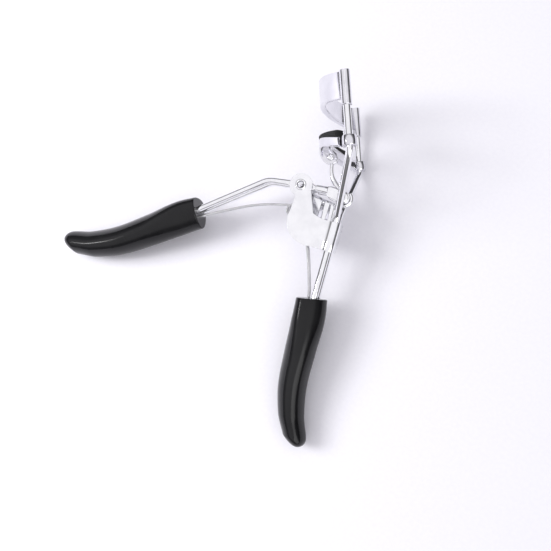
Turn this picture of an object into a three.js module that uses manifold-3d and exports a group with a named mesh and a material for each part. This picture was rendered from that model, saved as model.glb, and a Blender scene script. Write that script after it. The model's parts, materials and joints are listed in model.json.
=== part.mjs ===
// Eyelash curler: a wire frame with a fixed curved upper jaw, a padded lower jaw that slides on the
// frame's guide rods, a hinged lever joined to it by a link, a torsion return spring and two grips.
// Millimetres. +Z runs along the lever's pivot, +Y along the guide rods towards the upper jaw, and
// the jaws bulge towards -X. Everything is drawn about the pivot in the middle plane, and the whole
// is then moved so that the origin is the bottom centre of its bounding box, with the pivot upright.
import * as THREE from 'three';
import { mergeVertices } from 'three/addons/utils/BufferGeometryUtils.js';
import Module from 'manifold-3d';

const wasm = await Module();
wasm.setup();

// Guide rods and the frame's handle end
const ROD_RADIUS = 1.1;
const ROD_SPACING = 35;
const ROD_X = 16.55;
const ROD_TOP_Y = 27.6;
const ROD_BEND_Y = 5.5;
const ROD_BEND_TRIM = 1.8;
const ROD_PAIR_Z = 2.2;
const NECK = new THREE.Vector2(9.85, -11.15);
const LEAN = THREE.MathUtils.degToRad(19.7);
const ROD_HANDLE_LENGTH = 45;

// Jaws
const JAW_DEPTH = 8.9;
const UPPER_RISE = 3.3;
const LOWER_RISE = 4.4;
const JAW_HALF = ROD_SPACING / 2;
const SLEEVE_RADIUS = 1.5;
const SLEEVE_BORE = 1.2;
const SLEEVE_BOTTOM_Y = 17.9;
const PLATE_BOTTOM_Y = 19.7;
const PLATE_HEIGHT = 7.7;
const PLATE_THICKNESS = 0.8;
const PLATE_END_INSET = 0.7;
const LIP_WIDTH = 1.7;
const LIP_HEIGHT = 0.7;
const LIP_END_INSET = 1.2;
const COLLAR_RADIUS = 2.1;
const COLLAR_BORE = 1.3;
const COLLAR_BOTTOM_Y = 6.5;
const COLLAR_HEIGHT = 2.9;
const CHANNEL_BOTTOM_Y = 6.0;
const CHANNEL_HEIGHT = 2.7;
const CHANNEL_WIDTH = 3.2;
const CHANNEL_WALL = 0.5;
const JAW_EAR_INNER_Z = 1.15;
const JAW_EAR_THICKNESS = 0.65;
const JAW_EAR_RADIUS = 2;
const JAW_EAR_LAP = 0.3;
const JAW_EAR_INSET = 0.6;
const PAD_TOP_Y = 11.3;
const PAD_TOP_RISE = 2.7;
const PAD_STEM_WIDTH = 1.7;
const PAD_HEAD_WIDTH = 3.1;
const PAD_HALF_SPAN = 15;
const PAD_GAP = 0.25;
const PAD_CROWN_HEIGHT = 0.35;
const PAD_CROWN_LAP = 0.2;
const PAD_STEM_LAP = 0.2;
const PAD_CROWN_INSET = 1.1;

// Pivot, lever and link
const CHEEK_INNER_Z = 3.4;
const SHEET = 0.7;
const SHOULDER_DROP = 0.8;
const EAR_RADIUS = 3.5;
const RIVET_RADIUS = 1.15;
const RIVET_HOLE = 0.75;
const RIVET_FLANGE = 1.7;
const LEVER_Z = 2.4;
const LEVER_RADIUS = 0.95;
const LEVER_FLAT = 0.8;
const LEVER_BEND = new THREE.Vector2(-10.4, 2.9);
const LEVER_GRIP_POINT = new THREE.Vector2(-34.6, -4.2);
const LEVER_EYE_START = new THREE.Vector2(-4.4, 1.3);
const LEVER_EYE_END = new THREE.Vector2(4.5, -1.35);
const LEVER_EYE_RADIUS = 2.7;
const LEVER_NECK_RADIUS = 1.5;
const STUB_START = new THREE.Vector2(4.2, -1.25);
const STUB_END = new THREE.Vector2(7.6, -2.35);
const STUB_RADIUS = 1;
const LEVER_END_RADIUS = 1.8;
const PIN_CLEARANCE = 0.15;
const SPACER_RADIUS = 2.1;
const WASHER_RADIUS = 2.6;
const WASHER_GAP = 0.12;
const LINK_PIN = new THREE.Vector2(12.5, -5.1);
const LINK_PIN_RADIUS = 0.85;
const JAW_PIN = new THREE.Vector2(9.4, 7.8);
const JAW_PIN_RADIUS = 0.55;
const PIN_HEAD_HEIGHT = 0.5;
const LINK_PIN_HEAD = 1.5;
const JAW_PIN_HEAD = 1;
const LINK_RADIUS = 0.75;
const LINK_EYE_RADIUS = 0.6;

// Return spring
const SPRING_WIRE = 0.33;
const SPRING_PAIR_Z = 0.6;
const COIL_CENTRE = new THREE.Vector2(-3.5, -7.2);
const COIL_RADIUS = 1.8;
const COIL_PITCH = 0.9;

// Grips: mouth centre, direction of the chord from mouth to tip, and length
const FRAME_GRIP = { mouth: new THREE.Vector2(0.35, -34.8), angle: -99.5, length: 46, side: 1 };
const LEVER_GRIP = { mouth: new THREE.Vector2(-34.2, -4.9), angle: 185.2, length: 49, side: -1 };
const GRIP_HALF_WIDTH = 5.6;
const WIRE_GAP = 0.3;

// Facets
const ROD_SIDES = 10;
const FINE_SIDES = 6;
const ROUND_SIDES = 20;
const ARCH_STEPS = 20;

const chrome = new THREE.MeshStandardMaterial({ color: 0xd8dade, roughness: 0.12, metalness: 1 });
const rubber = new THREE.MeshStandardMaterial({ color: 0x141415, roughness: 0.8, metalness: 0 });
const plastic = new THREE.MeshStandardMaterial({ color: 0x0b0b0c, roughness: 0.18, metalness: 0 });

// ---- Helpers -------------------------------------------------------------------------------

function point(x, y, z = 0) {
  return new THREE.Vector3(x, y, z);
}

function solid(geometry) {
  const bare = geometry.clone();
  bare.deleteAttribute('normal');
  bare.deleteAttribute('uv');
  const merged = mergeVertices(bare, 1e-4);
  return new wasm.Manifold(new wasm.Mesh({
    numProp: 3,
    vertProperties: merged.attributes.position.array,
    triVerts: Uint32Array.from(merged.index.array),
  }));
}

function union(...geometries) {
  return geometries.map(solid).reduce((whole, next) => whole.add(next));
}

function geometryOf(manifold) {
  const mesh = manifold.getMesh();
  const geometry = new THREE.BufferGeometry();
  geometry.setAttribute('position', new THREE.BufferAttribute(mesh.vertProperties, 3));
  geometry.setIndex(new THREE.BufferAttribute(mesh.triVerts, 1));
  geometry.computeVertexNormals();
  return geometry;
}

// A regular polygon, for the section of a wire or the outline of a disc
function circle(radius, sides, x = 0, y = 0) {
  const points = [];
  for (let i = 0; i < sides; i += 1) {
    const angle = (2 * Math.PI * i) / sides;
    points.push(new THREE.Vector2(x + radius * Math.cos(angle), y + radius * Math.sin(angle)));
  }
  return points;
}

// Straight runs through the points, with each inner corner rounded over the given length
function bentPath(points, trim) {
  const path = new THREE.CurvePath();
  let start = points[0];
  for (let i = 1; i < points.length - 1; i += 1) {
    const corner = points[i];
    const before = corner.clone().lerp(points[i - 1], trim / corner.distanceTo(points[i - 1]));
    const after = corner.clone().lerp(points[i + 1], trim / corner.distanceTo(points[i + 1]));
    path.add(new THREE.LineCurve3(start, before));
    path.add(new THREE.QuadraticBezierCurve3(before, corner, after));
    start = after;
  }
  path.add(new THREE.LineCurve3(start, points.at(-1)));
  return path;
}

function wire(path, radius, steps, sides) {
  const section = new THREE.Shape(circle(radius, sides));
  return new THREE.ExtrudeGeometry(section, { extrudePath: path, steps, bevelEnabled: false });
}

// A flat piece parallel to the middle plane, between two heights on Z
function plate(outline, lowZ, highZ, holes = []) {
  const shape = new THREE.Shape(outline);
  for (const hole of holes) {
    shape.holes.push(new THREE.Path(hole));
  }
  const settings = { depth: highZ - lowZ, bevelEnabled: false };
  return new THREE.ExtrudeGeometry(shape, settings).translate(0, 0, lowZ);
}

// A piece whose outline is given as (X, -Z) and which stands up along Y
function upright(outline, lowY, height) {
  return plate(outline, 0, height).rotateX(-Math.PI / 2).translate(0, lowY, 0);
}

// A band of even thickness along a line of points
function band(line, thickness) {
  const left = [];
  const right = [];
  line.forEach((at, i) => {
    const before = line[Math.max(i - 1, 0)];
    const after = line[Math.min(i + 1, line.length - 1)];
    const normal = after.clone().sub(before).normalize();
    normal.set(-normal.y, normal.x).multiplyScalar(thickness / 2);
    left.push(at.clone().add(normal));
    right.push(at.clone().sub(normal));
  });
  return left.concat(right.reverse());
}

// A pin along Z at a place, turned from its half profile of (radius, Z) points
function turned(profile, place, sides = ROUND_SIDES) {
  const points = profile.map(([radius, z]) => new THREE.Vector2(radius, z));
  return new THREE.LatheGeometry(points, sides).rotateX(Math.PI / 2).translate(place.x, place.y, 0);
}

function headedPin(place, radius, headRadius, innerZ, outerZ) {
  return turned([
    [0, -outerZ], [headRadius, -outerZ], [headRadius, -innerZ], [radius, -innerZ],
    [radius, innerZ], [headRadius, innerZ], [headRadius, outerZ], [0, outerZ],
  ], place);
}

function ring(place, meanRadius, wireRadius) {
  return new THREE.TorusGeometry(meanRadius, wireRadius, 8, 24).translate(place.x, place.y, 0);
}

// ---- Frame ---------------------------------------------------------------------------------

// The direction of the frame's handle wires, and points along them from the neck
function alongHandle(distance, across = 0) {
  const x = NECK.x - Math.sin(LEAN) * distance + Math.cos(LEAN) * across;
  const y = NECK.y - Math.cos(LEAN) * distance - Math.sin(LEAN) * across;
  return new THREE.Vector2(x, y);
}

function guideRod(side) {
  const end = alongHandle(ROD_HANDLE_LENGTH);
  const path = bentPath([
    point(ROD_X, ROD_TOP_Y, side * JAW_HALF),
    point(ROD_X, ROD_BEND_Y, side * JAW_HALF),
    point(NECK.x, NECK.y, side * ROD_PAIR_Z),
    point(end.x, end.y, side * ROD_PAIR_Z),
  ], ROD_BEND_TRIM);
  return wire(path, ROD_RADIUS, 48, ROD_SIDES);
}

// A bar bent along a jaw: an arc from rod to rod that also rises in the middle. Its top can rise
// less than its underside. The offset moves it towards the rods.
function jawBand({ width, lowY, height, halfSpan, rise, topRise = rise, offset = 0 }) {
  const radius = (JAW_HALF ** 2 + JAW_DEPTH ** 2) / (2 * JAW_DEPTH);
  const limit = Math.asin(halfSpan / radius);
  const geometry = new THREE.BoxGeometry(width, height, 2 * limit, 1, 1, ARCH_STEPS);
  const position = geometry.attributes.position;
  for (let i = 0; i < position.count; i += 1) {
    const angle = position.getZ(i);
    const reach = radius - offset - position.getX(i);
    const share = (radius * Math.sin(angle)) / JAW_HALF;
    const edgeRise = position.getY(i) > 0 ? topRise : rise;
    position.setXYZ(
      i,
      ROD_X - JAW_DEPTH + radius - reach * Math.cos(angle),
      lowY + height / 2 + position.getY(i) + edgeRise * (1 - share * share),
      reach * Math.sin(angle),
    );
  }
  return geometry;
}

function rodTube(side, radius, lowY, height) {
  return upright(circle(radius, ROUND_SIDES, ROD_X, side * JAW_HALF), lowY, height);
}

function boreRods(body, bore, lowY, height) {
  const near = solid(rodTube(1, bore, lowY - 1, height + 2));
  const far = solid(rodTube(-1, bore, lowY - 1, height + 2));
  return geometryOf(body.subtract(near).subtract(far));
}

function upperJaw() {
  const sleeveHeight = ROD_TOP_Y - SLEEVE_BOTTOM_Y;
  const body = union(
    jawBand({
      width: PLATE_THICKNESS,
      lowY: PLATE_BOTTOM_Y,
      height: PLATE_HEIGHT,
      halfSpan: JAW_HALF - PLATE_END_INSET,
      rise: UPPER_RISE,
    }),
    jawBand({
      width: LIP_WIDTH,
      lowY: PLATE_BOTTOM_Y,
      height: LIP_HEIGHT,
      halfSpan: JAW_HALF - LIP_END_INSET,
      rise: UPPER_RISE,
      offset: (LIP_WIDTH - PLATE_THICKNESS) / 2,
    }),
    rodTube(1, SLEEVE_RADIUS, SLEEVE_BOTTOM_Y, sleeveHeight),
    rodTube(-1, SLEEVE_RADIUS, SLEEVE_BOTTOM_Y, sleeveHeight),
  );
  return boreRods(body, SLEEVE_BORE, SLEEVE_BOTTOM_Y, sleeveHeight);
}

// ---- Bracket that clasps the two rods and carries the pivot ----------------------------------

// Its sheet seen along the rods: two cheeks that close in on the rods and wrap round them
function bracketSection() {
  const clasp = ROD_RADIUS + 0.55;
  const cheek = CHEEK_INNER_Z + SHEET / 2;
  const half = [
    new THREE.Vector2(-24, cheek),
    new THREE.Vector2(-6.6, cheek),
    new THREE.Vector2(-5.4, cheek - 0.45 * SHOULDER_DROP),
    new THREE.Vector2(-4, cheek - 0.9 * SHOULDER_DROP),
    new THREE.Vector2(-2.6, cheek - SHOULDER_DROP),
  ];
  for (let i = 0; i <= 6; i += 1) {
    const angle = THREE.MathUtils.degToRad(125 - (125 * i) / 6);
    half.push(new THREE.Vector2(clasp * Math.cos(angle), ROD_PAIR_Z + clasp * Math.sin(angle)));
  }
  const mirrored = half.map((at) => new THREE.Vector2(at.x, -at.y)).reverse();
  return half.concat(mirrored);
}

// The outline of one cheek, seen along the pivot
function cheekOutline(near) {
  const outline = [];
  for (let i = 0; i <= 12; i += 1) {
    const angle = THREE.MathUtils.degToRad(-32 + (267 * i) / 12);
    outline.push(new THREE.Vector2(EAR_RADIUS * Math.cos(angle), EAR_RADIUS * Math.sin(angle)));
  }
  outline.push(
    new THREE.Vector2(-2.3, -4.0),
    new THREE.Vector2(-3.5, -6.6),
    new THREE.Vector2(-4.7, -9.0),
    new THREE.Vector2(-5.1, -11.2),
    new THREE.Vector2(-4.9, -13.5),
    new THREE.Vector2(-3.9, -15.7),
    new THREE.Vector2(-2.3, -17.3),
    new THREE.Vector2(-0.2, -18.6),
    alongHandle(10.1, -5.4),
    alongHandle(10.4, 4),
    alongHandle(1.3, 4),
  );
  if (near) {
    outline.push(alongHandle(1.3, -3.2), alongHandle(1, -5.2), new THREE.Vector2(3.1, -9.0));
  } else {
    outline.push(alongHandle(1.3, -1.8), alongHandle(-4.7, -2.1), new THREE.Vector2(5.4, -3.6));
  }
  return outline;
}

function pivotBracket() {
  const sheet = plate(band(bracketSection(), SHEET), -30, 20);
  // The section is drawn across the rods, so it is stood up along them at the neck
  sheet.rotateX(-Math.PI / 2).rotateZ(-LEAN).translate(NECK.x, NECK.y, 0);
  const body = solid(sheet);
  const reach = CHEEK_INNER_Z + 3;
  const near = body.intersect(solid(plate(cheekOutline(true), -0.2, reach)));
  const far = body.intersect(solid(plate(cheekOutline(false), -reach, 0.2)));
  const hole = solid(plate(circle(RIVET_RADIUS + 0.2, ROUND_SIDES), -reach, reach));
  return geometryOf(near.add(far).subtract(hole));
}

function pivotRivet() {
  const face = CHEEK_INNER_Z + SHEET + 0.1;
  const top = face + 0.4;
  const upperHalf = [
    [RIVET_RADIUS, face], [RIVET_FLANGE, face], [RIVET_FLANGE, face + 0.2],
    [RIVET_FLANGE - 0.2, top], [RIVET_HOLE, top],
  ];
  const lowerHalf = upperHalf.map(([radius, z]) => [radius, -z]).reverse();
  return turned([...lowerHalf, ...upperHalf, lowerHalf[0]], new THREE.Vector2(0, 0));
}

function pivotSpacer() {
  const half = LEVER_Z - LEVER_FLAT / 2 - PIN_CLEARANCE;
  const bore = RIVET_RADIUS + PIN_CLEARANCE;
  const profile = [
    [bore, -half], [SPACER_RADIUS, -half], [SPACER_RADIUS, half], [bore, half], [bore, -half],
  ];
  return turned(profile, new THREE.Vector2(0, 0));
}

function pivotWasher(side) {
  const inner = LEVER_Z + LEVER_FLAT / 2 + WASHER_GAP;
  const outer = CHEEK_INNER_Z - WASHER_GAP;
  const bore = RIVET_RADIUS + PIN_CLEARANCE;
  const profile = [
    [bore, inner], [WASHER_RADIUS, inner], [WASHER_RADIUS, outer], [bore, outer], [bore, inner],
  ];
  const washer = turned(profile, new THREE.Vector2(0, 0));
  return side > 0 ? washer : washer.rotateX(Math.PI);
}

// ---- Lever -----------------------------------------------------------------------------------

// A bar with round ends between two places, as an outline in the middle plane
function bar(from, to, radius) {
  const along = Math.atan2(to.y - from.y, to.x - from.x);
  const outline = [];
  for (const [centre, start] of [[to, along - Math.PI / 2], [from, along + Math.PI / 2]]) {
    for (let i = 0; i <= 8; i += 1) {
      const angle = start + (Math.PI * i) / 8;
      outline.push(new THREE.Vector2(
        centre.x + radius * Math.cos(angle),
        centre.y + radius * Math.sin(angle),
      ));
    }
  }
  return outline;
}

function leverWire(side) {
  const z = side * LEVER_Z;
  const low = z - LEVER_FLAT / 2;
  const high = z + LEVER_FLAT / 2;
  const insideGrip = LEVER_GRIP_POINT.clone().sub(LEVER_BEND).multiplyScalar(1.75).add(LEVER_BEND);
  const handle = wire(bentPath([
    point(insideGrip.x, insideGrip.y, z),
    point(LEVER_BEND.x, LEVER_BEND.y, z),
    point(LEVER_EYE_START.x, LEVER_EYE_START.y, z),
  ], 2), LEVER_RADIUS, 24, 8);
  const stubLine = new THREE.LineCurve3(
    point(STUB_START.x, STUB_START.y, z),
    point(STUB_END.x, STUB_END.y, z),
  );
  const stub = wire(stubLine, STUB_RADIUS, 1, ROD_SIDES);
  const eyeFlat = plate(bar(LEVER_EYE_START, LEVER_EYE_END, LEVER_NECK_RADIUS), low, high);
  const boss = plate(circle(LEVER_EYE_RADIUS, ROUND_SIDES), low, high);
  const endFlat = plate(bar(STUB_END, LINK_PIN, LEVER_END_RADIUS), low, high);
  const body = union(handle, stub, eyeFlat, boss, endFlat);
  const pivotHole = solid(plate(circle(RIVET_RADIUS + 0.2, ROUND_SIDES), low - 1, high + 1));
  const pinOutline = circle(LINK_PIN_RADIUS + PIN_CLEARANCE, ROUND_SIDES, LINK_PIN.x, LINK_PIN.y);
  const pinHole = solid(plate(pinOutline, low - 1, high + 1));
  return geometryOf(body.subtract(pivotHole).subtract(pinHole));
}

function linkPin() {
  const innerZ = LEVER_Z + LEVER_FLAT / 2 + 0.1;
  return headedPin(LINK_PIN, LINK_PIN_RADIUS, LINK_PIN_HEAD, innerZ, innerZ + PIN_HEAD_HEIGHT);
}

// ---- Link and lower jaw ----------------------------------------------------------------------

function link() {
  const shank = new THREE.CubicBezierCurve3(
    point(JAW_PIN.x - 0.1, JAW_PIN.y - 1.5),
    point(JAW_PIN.x - 0.2, JAW_PIN.y - 6.4),
    point(LINK_PIN.x - 2.2, LINK_PIN.y + 5),
    point(LINK_PIN.x - 0.5, LINK_PIN.y + 1.9),
  );
  const topEye = ring(JAW_PIN, JAW_PIN_RADIUS + 0.55 + LINK_EYE_RADIUS, LINK_EYE_RADIUS);
  const lowEye = ring(LINK_PIN, LINK_PIN_RADIUS + 0.35 + LINK_RADIUS, LINK_RADIUS);
  return geometryOf(union(topEye, lowEye, wire(shank, LINK_RADIUS, 12, 8)));
}

function lowerJaw() {
  const channel = { lowY: CHANNEL_BOTTOM_Y, height: CHANNEL_HEIGHT, rise: LOWER_RISE };
  const outside = union(
    jawBand({ ...channel, width: CHANNEL_WIDTH, halfSpan: JAW_HALF - 1 }),
    rodTube(1, COLLAR_RADIUS, COLLAR_BOTTOM_Y, COLLAR_HEIGHT),
    rodTube(-1, COLLAR_RADIUS, COLLAR_BOTTOM_Y, COLLAR_HEIGHT),
  );
  const groove = solid(jawBand({
    ...channel,
    lowY: CHANNEL_BOTTOM_Y + CHANNEL_WALL,
    width: CHANNEL_WIDTH - 2 * CHANNEL_WALL,
    halfSpan: PAD_HALF_SPAN + PAD_GAP,
  }));
  let body = outside.subtract(groove);
  // Two ears and a front apron hang from the middle of the channel and carry the link
  const rootY = CHANNEL_BOTTOM_Y + LOWER_RISE;
  const earTop = new THREE.Vector2(ROD_X - JAW_DEPTH + JAW_EAR_INSET, rootY - JAW_EAR_RADIUS + JAW_EAR_LAP);
  const earHole = circle(JAW_PIN_RADIUS + 0.12, 12, JAW_PIN.x, JAW_PIN.y);
  const earOuterZ = JAW_EAR_INNER_Z + JAW_EAR_THICKNESS;
  for (const [low, high] of [[JAW_EAR_INNER_Z, earOuterZ], [-earOuterZ, -JAW_EAR_INNER_Z]]) {
    body = body.add(solid(plate(bar(JAW_PIN, earTop, JAW_EAR_RADIUS), low, high, [earHole])));
  }
  const apron = jawBand({
    width: CHANNEL_WALL,
    lowY: CHANNEL_BOTTOM_Y - 1.8,
    height: 2.2,
    halfSpan: 3.2,
    rise: LOWER_RISE,
    offset: (CHANNEL_WALL - CHANNEL_WIDTH) / 2,
  });
  return boreRods(body.add(solid(apron)), COLLAR_BORE, COLLAR_BOTTOM_Y, COLLAR_HEIGHT);
}

function jawPad() {
  const stemBottom = CHANNEL_BOTTOM_Y + CHANNEL_WALL + PAD_GAP;
  const headBottom = CHANNEL_BOTTOM_Y + CHANNEL_HEIGHT + PAD_GAP;
  const crownBottom = PAD_TOP_Y - PAD_CROWN_HEIGHT;
  const stemTop = headBottom + PAD_STEM_LAP;
  const crownRoot = crownBottom - PAD_CROWN_LAP;
  const stem = { lowY: stemBottom, highY: stemTop, rise: LOWER_RISE };
  const head = { lowY: headBottom, highY: crownBottom, rise: LOWER_RISE, topRise: PAD_TOP_RISE };
  const crown = { lowY: crownRoot, highY: PAD_TOP_Y, rise: PAD_TOP_RISE };
  // The stem sits in the groove and laps the head; the crown laps the head, narrower and shorter
  const layers = [
    { ...stem, width: PAD_STEM_WIDTH, drawnIn: 0 },
    { ...head, width: PAD_HEAD_WIDTH, drawnIn: 0.2 },
    { ...crown, width: PAD_HEAD_WIDTH - PAD_CROWN_INSET, drawnIn: 0.5 },
  ];
  const bands = layers.map(({ lowY, highY, drawnIn, ...rest }) => jawBand({
    ...rest,
    lowY,
    height: highY - lowY,
    halfSpan: PAD_HALF_SPAN - drawnIn,
  }));
  return geometryOf(union(...bands));
}

function jawPin() {
  const innerZ = JAW_EAR_INNER_Z + JAW_EAR_THICKNESS + PIN_CLEARANCE;
  return headedPin(JAW_PIN, JAW_PIN_RADIUS, JAW_PIN_HEAD, innerZ, innerZ + 0.8 * PIN_HEAD_HEIGHT);
}

// ---- Return spring -----------------------------------------------------------------------------

// One strand's turns round the coil: it starts at the top and leaves downwards on the side of the rods
function coilPoints(side) {
  const turns = 1.25;
  const count = 20;
  const points = [];
  for (let i = 0; i <= count; i += 1) {
    const share = i / count;
    const angle = Math.PI / 2 - 2 * Math.PI * turns * share;
    const z = SPRING_PAIR_Z + COIL_PITCH * turns * share;
    points.push(point(
      COIL_CENTRE.x + COIL_RADIUS * Math.cos(angle),
      COIL_CENTRE.y + COIL_RADIUS * Math.sin(angle),
      side * z,
    ));
  }
  return points;
}

// One wire that runs out along a strand, round a hairpin bend and back along its mirror image
function doubledWire(strand, bend, steps) {
  const points = [...strand(1), bend, ...strand(-1).reverse()];
  return wire(new THREE.CatmullRomCurve3(points, false, 'centripetal'), SPRING_WIRE, steps, FINE_SIDES);
}

// The doubled wire from the coil down into the frame's grip, with its hairpin bend inside the grip
function springFrameLeg() {
  const strand = (side) => [
    point(COIL_CENTRE.x - 3.2, COIL_CENTRE.y + COIL_RADIUS + 0.25, side * SPRING_PAIR_Z),
    ...coilPoints(side),
    point(-0.7, -13, side * 1.5),
    point(0.1, -19, side * 0.9),
    point(0, -26.6, side * SPRING_PAIR_Z),
    point(-0.6, -34, side * SPRING_PAIR_Z),
    point(-2.9, -40.5, side * SPRING_PAIR_Z),
  ];
  return doubledWire(strand, point(-3.15, -41.3), 150);
}

// The doubled wire that runs out of the lever's grip and stops short of the coil, where it flexes
function springLeverLeg() {
  const strand = (side) => [
    point(-12, -4.15, side * SPRING_PAIR_Z),
    point(-17.8, -4.25, side * SPRING_PAIR_Z),
    point(-25.5, -4.95, side * SPRING_PAIR_Z),
    point(-33.6, -5.95, side * SPRING_PAIR_Z),
    point(-40, -7.4, side * SPRING_PAIR_Z),
  ];
  return doubledWire(strand, point(-40.8, -7.6), 48);
}

// ---- Grips -------------------------------------------------------------------------------------

// Shares of a grip's length: place along it, swing of its middle inwards, and half its thickness
const GRIP_STATIONS = [
  [0, 0, 0.104],
  [0.15, 0.012, 0.112],
  [0.35, 0.045, 0.107],
  [0.6, 0.077, 0.099],
  [0.8, 0.067, 0.09],
  [0.93, 0.032, 0.08],
  [1, 0.005, 0.068],
];
const MOUTH_DOME = 0.05;
const TIP_DOME = 0.11;
const GRIP_ROWS = 22;
const SOCKET_OUTER = 2.8;

// A smooth curve through one column of the stations, read at a share of the length
function stationCurve(column) {
  const knots = GRIP_STATIONS.map((row) => new THREE.Vector2(row[0], row[column]));
  const spline = new THREE.SplineCurve(knots);
  const last = GRIP_STATIONS.length - 1;
  return (share) => {
    let index = 0;
    while (index < last - 1 && GRIP_STATIONS[index + 1][0] < share) {
      index += 1;
    }
    const from = GRIP_STATIONS[index][0];
    const to = GRIP_STATIONS[index + 1][0];
    return spline.getPoint((index + (share - from) / (to - from)) / last).y;
  };
}

// How full the section is at a share of the length: both ends are domed
function fullness(share) {
  const mouth = Math.max(0, 1 - share / MOUTH_DOME);
  const tip = Math.max(0, 1 - (1 - share) / TIP_DOME);
  return Math.sqrt(Math.max(0, 1 - Math.max(mouth, tip) ** 2));
}

function gripBody(grip) {
  const profile = [];
  for (let i = 0; i <= GRIP_ROWS; i += 1) {
    const share = (1 - Math.cos((Math.PI * i) / GRIP_ROWS)) / 2;
    profile.push(new THREE.Vector2(i === 0 || i === GRIP_ROWS ? 0 : fullness(share), share));
  }
  const swing = stationCurve(1);
  const half = stationCurve(2);
  const geometry = new THREE.LatheGeometry(profile, ROUND_SIDES);
  const position = geometry.attributes.position;
  for (let i = 0; i < position.count; i += 1) {
    const share = position.getY(i);
    const inwards = swing(share) - half(share) * position.getX(i);
    const width = GRIP_HALF_WIDTH * (1 + 0.12 * Math.sin(Math.PI * share)) * (1 - 0.25 * share * share);
    position.setXYZ(i, share * grip.length, inwards * grip.length, width * position.getZ(i));
  }
  if (grip.side > 0) {
    geometry.rotateX(Math.PI);
  }
  geometry.rotateZ(THREE.MathUtils.degToRad(grip.angle));
  return solid(geometry.translate(grip.mouth.x, grip.mouth.y, 0));
}

function frameGrip() {
  const start = ROD_HANDLE_LENGTH - 26;
  const end = ROD_HANDLE_LENGTH + 1;
  const inner = ROD_RADIUS + WIRE_GAP + 0.05;
  const socket = [
    alongHandle(end, -SOCKET_OUTER),
    alongHandle(end, inner),
    alongHandle(start, inner),
    alongHandle(start, -SOCKET_OUTER),
  ];
  const half = ROD_PAIR_Z + ROD_RADIUS + WIRE_GAP;
  return geometryOf(gripBody(FRAME_GRIP).subtract(solid(plate(socket, -half, half))));
}

function leverGrip() {
  const along = LEVER_GRIP_POINT.clone().sub(LEVER_BEND).normalize();
  const across = new THREE.Vector2(along.y, -along.x);
  const corner = (distance, offset) => LEVER_GRIP_POINT.clone()
    .addScaledVector(along, distance)
    .addScaledVector(across, offset);
  const inner = LEVER_RADIUS + WIRE_GAP;
  const socket = [
    corner(-4, -SOCKET_OUTER), corner(-4, inner), corner(19.6, inner), corner(19.6, -SOCKET_OUTER),
  ];
  const half = LEVER_Z + LEVER_RADIUS + WIRE_GAP;
  return geometryOf(gripBody(LEVER_GRIP).subtract(solid(plate(socket, -half, half))));
}

// ---- Assembly ----------------------------------------------------------------------------------

const curler = new THREE.Group();

function add(name, geometry, material) {
  const mesh = new THREE.Mesh(geometry, material);
  mesh.name = name;
  curler.add(mesh);
}

add('guide_rod_near', guideRod(1), chrome);
add('guide_rod_far', guideRod(-1), chrome);
add('upper_jaw', upperJaw(), chrome);
add('pivot_bracket', pivotBracket(), chrome);
add('pivot_rivet', pivotRivet(), chrome);
add('pivot_spacer', pivotSpacer(), chrome);
add('pivot_washer_near', pivotWasher(1), chrome);
add('pivot_washer_far', pivotWasher(-1), chrome);
add('return_spring_frame_leg', springFrameLeg(), chrome);
add('frame_grip', frameGrip(), plastic);
add('lever_wire_near', leverWire(1), chrome);
add('lever_wire_far', leverWire(-1), chrome);
add('link_pin', linkPin(), chrome);
add('return_spring_lever_leg', springLeverLeg(), chrome);
add('lever_grip', leverGrip(), plastic);
add('link', link(), chrome);
add('lower_jaw', lowerJaw(), chrome);
add('jaw_pin', jawPin(), chrome);
add('jaw_pad', jawPad(), rubber);

const bounds = new THREE.Box3().setFromObject(curler);
const centre = bounds.getCenter(new THREE.Vector3());
curler.position.set(-centre.x, -centre.y, -bounds.min.z);

export default curler;
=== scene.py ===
import json
import math

import bmesh
import bpy
from mathutils import Matrix, Vector


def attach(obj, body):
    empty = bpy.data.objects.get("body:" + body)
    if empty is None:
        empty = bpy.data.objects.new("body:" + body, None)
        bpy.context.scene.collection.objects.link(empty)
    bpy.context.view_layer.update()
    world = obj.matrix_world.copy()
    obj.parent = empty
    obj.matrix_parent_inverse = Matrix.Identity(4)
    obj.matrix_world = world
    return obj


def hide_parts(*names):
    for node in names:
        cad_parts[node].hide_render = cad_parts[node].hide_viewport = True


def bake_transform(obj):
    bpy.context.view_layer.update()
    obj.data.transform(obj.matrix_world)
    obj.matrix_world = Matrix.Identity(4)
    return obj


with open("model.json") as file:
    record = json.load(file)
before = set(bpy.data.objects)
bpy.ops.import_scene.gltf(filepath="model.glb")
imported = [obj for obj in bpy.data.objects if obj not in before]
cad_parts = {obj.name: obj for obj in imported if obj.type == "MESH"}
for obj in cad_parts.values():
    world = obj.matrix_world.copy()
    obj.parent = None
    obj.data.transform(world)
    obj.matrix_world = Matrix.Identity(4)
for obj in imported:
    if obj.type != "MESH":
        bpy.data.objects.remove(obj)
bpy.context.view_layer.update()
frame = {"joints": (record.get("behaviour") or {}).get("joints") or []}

# Everything is drawn in millimetres about the lever's pivot, in the middle plane: +Z runs along the
# pivot, +Y along the guide rods towards the upper jaw, and the jaws bulge towards -X.
MM = 0.001
MERGE_GAP = 1e-7          # metres
PIVOT = Vector(next(j["pos_m"] for j in frame["joints"] if j["name"] == "lever_pivot"))

# Guide rods and the frame's handle end
ROD_RADIUS = 1.1
JAW_HALF = 17.5
ROD_X = 16.55
ROD_TOP_Y = 27.6
ROD_BEND_Y = 5.5
ROD_PAIR_Z = 2.2
NECK = Vector((9.85, -11.15))
LEAN = math.radians(19.7)
ROD_HANDLE_LENGTH = 45
ROD_BEND_TRIM = 1.8

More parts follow.
